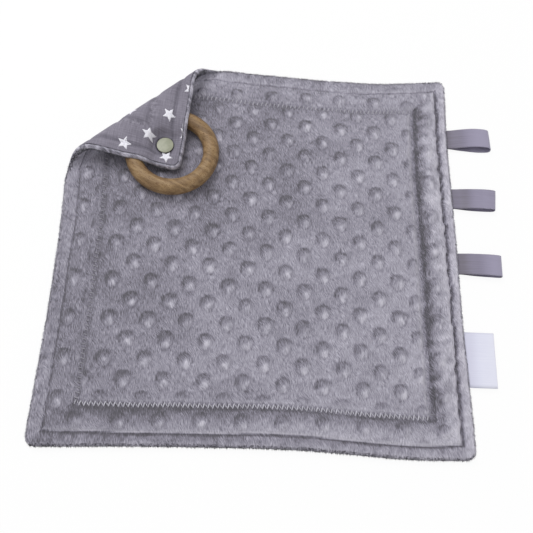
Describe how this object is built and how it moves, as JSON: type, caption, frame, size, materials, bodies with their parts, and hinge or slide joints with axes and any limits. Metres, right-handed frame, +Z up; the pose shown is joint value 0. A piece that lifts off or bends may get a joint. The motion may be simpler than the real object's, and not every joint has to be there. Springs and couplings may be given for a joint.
{
  "type": "comfort blanket",
  "caption": "Square baby comfort blanket of dimpled plush and star print cotton, one corner folded over a wooden teething ring and snapped, ribbon loops and a blank label at the edge.",
  "frame": {"origin": "centre of the square blanket, on the underside that lies on the table", "axes": "+Z up out of the plush face, +X towards the edge with the ribbon loops, +Y away from the viewer, towards the edge beside the folded corner"},
  "size_m": [0.3281, 0.3, 0.0245],
  "materials": {
    "dimple_plush": "short brushed polyester pile with raised dots, grey lilac, soft sheen",
    "star_cotton": "plain woven cotton, grey lilac with small plain white stars",
    "satin_ribbon": "finely ribbed satin ribbon, grey lilac",
    "label_satin": "white woven satin label tape, left blank",
    "beech": "fine sanded beech, oiled, satin",
    "snap_plastic": "moulded acetal, pale olive cream"
  },
  "bodies": {
    "blanket": {"plush_front": "dimple_plush", "cotton_back": "star_cotton", "snap_stud": "snap_plastic", "snap_rear_cap": "snap_plastic"},
    "fold_strip": {"plush_fold": "dimple_plush", "cotton_fold": "star_cotton"},
    "corner_flap": {"flap_plush": "dimple_plush", "flap_cotton": "star_cotton", "snap_cap": "snap_plastic", "snap_socket": "snap_plastic"},
    "ring": {"teething_ring": "beech"},
    "loop_upper": {"ribbon_loop_upper": "satin_ribbon"},
    "loop_middle": {"ribbon_loop_middle": "satin_ribbon"},
    "loop_lower": {"ribbon_loop_lower": "satin_ribbon"},
    "label": {"care_label": "label_satin"}
  },
  "joints": [
    {"name": "corner_unfold", "type": "hinge", "parent": "blanket", "child": "fold_strip", "pos_m": [-0.09972, 0.09294, 0.00275], "axis": [-0.7503, -0.6611, 0], "range_deg": [0, 90]},
    {"name": "corner_unroll", "type": "hinge", "parent": "fold_strip", "child": "corner_flap", "pos_m": [-0.09972, 0.09294, 0.0213], "axis": [-0.7503, -0.6611, 0], "range_deg": [0, 90]},
    {"name": "ring_turn", "type": "hinge", "parent": "blanket", "child": "ring", "pos_m": [-0.06845, 0.06502, 0.0118], "axis": [0, 0, 1], "continuous": true},
    {"name": "loop_upper_flip", "type": "hinge", "parent": "blanket", "child": "loop_upper", "pos_m": [0.1509, 0.0907, 0.0031], "axis": [0, -1, 0], "range_deg": [-90, 100]},
    {"name": "loop_middle_flip", "type": "hinge", "parent": "blanket", "child": "loop_middle", "pos_m": [0.1509, 0.0392, 0.0031], "axis": [0, -1, 0], "range_deg": [-90, 100]},
    {"name": "loop_lower_flip", "type": "hinge", "parent": "blanket", "child": "loop_lower", "pos_m": [0.1509, -0.0123, 0.0031], "axis": [0, -1, 0], "range_deg": [-90, 100]},
    {"name": "label_flip", "type": "hinge", "parent": "blanket", "child": "label", "pos_m": [0.1509, -0.0824, 0.0031], "axis": [0, -1, 0], "range_deg": [-90, 100]}
  ],
  "couplings": [
    {"joint": "corner_unroll", "follows": "corner_unfold", "ratio": 1}
  ]
}
